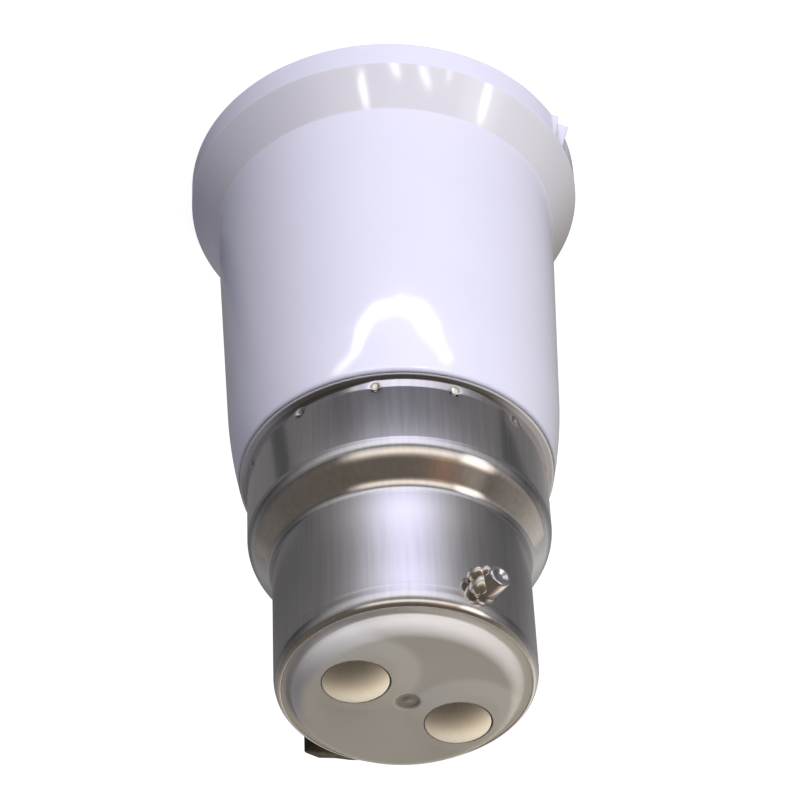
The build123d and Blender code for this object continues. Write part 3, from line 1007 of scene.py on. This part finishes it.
# Table cloth: dark near the adapter, then a pale bluish sheet in front, then dim out to its edge. Each stop
# gives a distance in millimetres, the level in front and the level aside.
table_stops = [
    (0, 0.2, 0.12),
    (50, 0.2, 0.12),
    (54, 0.23, 0.12),
    (58, 0.26, 0.12),
    (60, 0.32, 0.12),
    (66, 0.9, 0.12),
    (69, 1.7, 0.12),
    (71.5, 1.3, 0.12),
    (74, 1.16, 0.13),
    (76.7, 1.02, 0.14),
    (79, 1.12, 0.14),
    (81.8, 1.6, 0.15),
    (83, 1.0, 0.15),
    (90, 1.25, 0.17),
    (150, 1.3, 0.28),
    (190, 1.1, 0.34),
    (230, 0.6, 0.36),
    (300, 0.36, 0.34),
    (450, 0.32, 0.3),
    (900, 0.45, 0.3),
]
near, in_front, aside = np.array(table_stops).T * [[MM], [1], [1]]
across = np.geomspace(0.012, tent_radius, 240)
front_level = np.interp(across, near, in_front)[:, None]
aside_level = np.interp(across, near, aside)[:, None]
width = np.interp(across, [0.062, 0.07, 0.085, 0.1], [48, 34.5, 34.5, 45])[:, None]
bell = hump(azimuth, 5, width) + 0.08 * hump(azimuth, 0, 75)
level = aside_level + (front_level - aside_level) * bell

# It is brighter behind at the right, dimmer far out at both sides, and lit by a window at right in front
level *= 1 + 0.9 * hump(azimuth, 150, 30)
far = np.clip((across - 0.085) / 0.01, 0, 1)[:, None]
level *= 1 - 0.7 * far * hump(azimuth, -95, 35)
level *= 1 - 0.6 * far * hump(azimuth, 97, 22)
window_azimuth, window_half, window_level = 56, 9.5, 1.6
window = np.clip((window_half - np.abs(azimuth - window_azimuth)) / 3, 0, 1)
window = window * np.clip((across - 0.25) / 0.2, 0, 1)[:, None]
level += (window_level - level) * window

# The part that the cap's skirt mirrors has paler sides, each crossed by a dark stripe: the one at left is
# slanted and the one at right widens outwards
near_sides = [
    (-180, 1.55),
    (-107, 1.65),
    (-76, 1.45),
    (-62, 1.45),
    (-52, 1.2),
    (-46, 1.05),
    (-40, 0.85),
    (-31, 0.8),
    (-18, 1.0),
    (18, 1.0),
    (46, 1.17),
    (62, 1.32),
    (76, 1.45),
    (98, 1.65),
    (117, 1.45),
    (180, 1.55),
]
side_azimuths, side_gains = np.array(near_sides).T
distance = across[:, None] / MM
soft_edge = 4
left_half = 7.4
left_middle = 0.6 * (distance - 51) - 91
left_stripe = np.clip((left_half - np.abs(azimuth - left_middle)) / soft_edge + 0.5, 0, 1)
right_start = 79
right_end = 80.5 + 3.4 * (distance - 51.2)
right_stripe = np.clip((azimuth - right_start) / soft_edge + 0.5, 0, 1)
right_stripe = right_stripe * np.clip((right_end - azimuth) / soft_edge + 0.5, 0, 1)
gain = np.interp(azimuth, side_azimuths, side_gains) * (1 - 0.5 * (left_stripe + right_stripe))
level *= 1 + np.clip((66 - distance) / 4, 0, 1) * (gain - 1)
blue_share = np.interp(across, [0.062, 0.07, 0.085, 0.1, 0.2, 0.4], [0.5, 1, 1, 0.45, 0.35, 0])
blueness = blue_share[:, None, None] * bell[..., None]
tint = blueness * (1.0, 0.985, 1.2) + (1 - blueness) * (1.02, 1.0, 0.97)
table = stage_mesh("table_cloth", round_grid(azimuth, across, 0 * across - 0.0005), True, tent_cloth)
paint_glow(table, level, tint)

# Tent: cream low in front, dark at both sides and overhead, bright behind at the right. Each line gives a
# side's azimuth and its level at the stops, which are elevations.
stops = [0, 8, 14, 20, 28, 36, 43, 59, 75, 90]
sides = [
    (-180, [0.82, 0.88, 0.96, 0.96, 0.9, 0.66, 0.46, 0.2, 0.1, 0.09]),
    (-150, [0.5, 0.5, 0.5, 0.5, 0.46, 0.34, 0.24, 0.13, 0.1, 0.09]),
    (-120, [0.16, 0.17, 0.2, 0.22, 0.22, 0.2, 0.2, 0.14, 0.11, 0.1]),
    (-95, [0.1, 0.12, 0.13, 0.13, 0.13, 0.13, 0.13, 0.12, 0.11, 0.1]),
    (-40, [0.1, 0.12, 0.14, 0.14, 0.13, 0.13, 0.13, 0.12, 0.11, 0.1]),
    (-24, [0.6, 1.0, 1.2, 0.9, 0.35, 0.15, 0.13, 0.12, 0.11, 0.1]),
    (0, [0.6, 1.1, 1.35, 1.1, 0.4, 0.17, 0.13, 0.12, 0.11, 0.1]),
    (38, [0.6, 1.1, 1.3, 1.0, 0.4, 0.2, 0.13, 0.12, 0.11, 0.1]),
    (44.5, [0.6, 0.8, 0.8, 0.5, 0.25, 0.17, 0.13, 0.12, 0.11, 0.1]),
    (47, [1.4, 2.0, 2.0, 1.8, 0.6, 0.16, 0.13, 0.12, 0.11, 0.1]),
    (63, [1.4, 2.0, 2.0, 1.6, 0.5, 0.15, 0.13, 0.12, 0.11, 0.1]),
    (72, [0.3, 0.3, 0.22, 0.16, 0.14, 0.14, 0.14, 0.12, 0.11, 0.1]),
    (100, [0.3, 0.3, 0.26, 0.28, 0.3, 0.3, 0.3, 0.16, 0.11, 0.1]),
    (120, [0.5, 0.55, 0.5, 0.45, 0.42, 0.4, 0.38, 0.18, 0.11, 0.1]),
    (150, [1.15, 1.2, 1.25, 1.3, 1.2, 0.95, 0.62, 0.22, 0.1, 0.09]),
    (180, [0.82, 0.88, 0.96, 0.96, 0.9, 0.66, 0.46, 0.2, 0.1, 0.09]),
]
elevation = np.linspace(-0.5, 89.9, 96)
columns = np.array([np.interp(elevation, stops, levels) for _, levels in sides])
level = np.array([np.interp(azimuth, [at for at, _ in sides], column) for column in columns.T])
brownness = np.interp(elevation, [0, 15, 36], [0, 0.25, 1])[:, None, None] * np.ones_like(level)[..., None]
tint = brownness * (1.17, 1.0, 0.8) + (1 - brownness) * (1.08, 1.0, 0.88)
pink = hump(azimuth, 35, 11) * hump(elevation[:, None], 34, 5)
tint = tint + pink[..., None] * (1.1, 0.3, 0.05)
rise = np.radians(elevation)
tent_grid = round_grid(azimuth, tent_radius * np.cos(rise), tent_radius * np.sin(rise))
tent = stage_mesh("tent", tent_grid, True, tent_cloth)
paint_glow(tent, level, tint)

# Strip lamps: narrow lights that show only as glints, each hung where the camera sees it in the housing's
# skin, and lit on the side that faces that place
strip_glow, tree = new_material("strip_lamp")
paint = add(tree, "Attribute", attribute_name="glow")
backfacing = add(tree, "NewGeometry").outputs["Backfacing"]
lit_side = add(tree, "Math", {0: 1.0, 1: backfacing}, operation="SUBTRACT")
glow = add(tree, "Emission", {"Color": paint.outputs["Color"], "Strength": lit_side.outputs[0]})
clear = add(tree, "BsdfTransparent")
both = add(tree, "AddShader", {0: clear.outputs[0], 1: glow.outputs[0]})
add(tree, "OutputMaterial", {"Surface": both.outputs[0]})
skin_start = np.abs(housing_line - nose_end).sum(axis=1).argmin()
skin_end = housing_line[:, 0].argmax()
skin_line = housing_line[skin_start : skin_end + 1][::-1]
skin_slope = np.gradient(skin_line[:, 0], skin_line[:, 1])
eye = np.array(camera.matrix_world.translation) / MM
skin_only = bpy.data.collections.new("housing_skin")
skin_only.objects.link(housing)


def mirrored(places, away):
    """Points away millimetres along the camera's mirrored rays from places on the housing's skin.

    A place is (azimuth, height). With the camera's ray d and the skin's normal n, the mirrored ray is
    d - 2 (d . n) n.
    """
    a, z = np.radians(places[:, 0]), places[:, 1]
    out = np.cos(a)[:, None] * np.array(front) + np.sin(a)[:, None] * np.array(right)
    n = out - np.interp(z, skin_line[:, 1], skin_slope)[:, None] * np.array(up)
    n /= np.linalg.norm(n, axis=1, keepdims=True)
    place = out * np.interp(z, skin_line[:, 1], skin_line[:, 0])[:, None] + z[:, None] * np.array(up)
    d = place - eye
    d /= np.linalg.norm(d, axis=1, keepdims=True)
    return place + away * (d - 2 * (d * n).sum(axis=1, keepdims=True) * n)


def evenly(line, count):
    """A line's points again at count even steps along it."""
    along = np.concatenate([[0], np.cumsum(np.linalg.norm(np.diff(line, axis=0), axis=1))])
    steps = np.linspace(0, along[-1], count)
    return np.column_stack([np.interp(steps, along, line[:, k]) for k in range(2)])


def strip_lamp(name, first, second, away, tilt, power):
    """A strip whose reflection fills the skin between two lines of (azimuth, height).

    It fades at its edges and ends, and hangs away - tilt (height - lowest height) millimetres from the skin.
    """
    t = np.linspace(0, 1, 9)[:, None, None]
    places = evenly(first, 60) * (1 - t) + evenly(second, 60) * t
    lowest = places[..., 1].min()
    grid = np.stack([mirrored(row, away - tilt * (row[:, 1:] - lowest)) for row in places]) * MM
    face = np.cross(grid[-1, 30] - grid[0, 30], grid[4, -1] - grid[4, 0])
    if face @ (mirrored(places[4, 30:31], 0)[0] * MM - grid[4, 30]) > 0:
        grid = grid[::-1]
    fade = np.sin(np.pi * t[..., 0]) ** 0.5 * np.sin(np.pi * np.linspace(0.06, 0.94, 60)) ** 0.4
    strip = stage_mesh(name, grid, False, strip_glow)
    paint_glow(strip, power * fade, (1.0, 1.0, 1.0))
    strip.light_linking.receiver_collection = skin_only


arch_outside = rounded_line(
    [
        (-23, 36.4, 0),
        (-14, 34.8, 1.5),
        (-11.4, 32.0, 2),
        (-5.4, 29.7, 2),
        (3, 29.2, 2),
        (12.3, 29.35, 2),
        (17.8, 31.5, 1.5),
        (18.4, 33.5, 1.5),
        (23.2, 35.4, 0),
    ]
)
arch_inside = rounded_line(
    [
        (-18, 36.7, 0),
        (-10, 35.0, 1.5),
        (-7.4, 33.3, 1.5),
        (-4.5, 31.9, 1.5),
        (3.5, 31.4, 1.5),
        (7.5, 31.9, 1.0),
        (10.0, 33.6, 1.5),
        (15, 34.9, 1.5),
        (18, 36.2, 0),
    ]
)
strip_lamp("arch_strip", arch_outside, arch_inside, 20, 0, 9.0)
glints = [
    ([(-4.4, 3.3), (-4.9, 4.4), (-4.3, 5.2), (-3.9, 6.1)], 1.2, 25, 14.0),
    ([(4.6, 2.8), (5.4, 3.2), (6.6, 3.7)], 1.2, 25, 16.0),
    ([(12.8, 2.85), (14.2, 3.6), (16.4, 4.5)], 1.0, 25, 16.0),
    ([(20.8, 2.9), (21.8, 3.3)], 1.0, 25, 14.0),
    ([(34.2, 2.85), (34.4, 4.3), (34.8, 5.85)], 1.3, 25, 14.0),
]
glint_tilt = 0.73
for k, (line, half, away, power) in enumerate(glints):
    line = np.array(line)
    strip_lamp(f"glint_strip_{k + 1}", line - (half, 0), line + (half, 0), away, glint_tilt, power)

bpy.context.scene.view_settings.view_transform = "Standard"
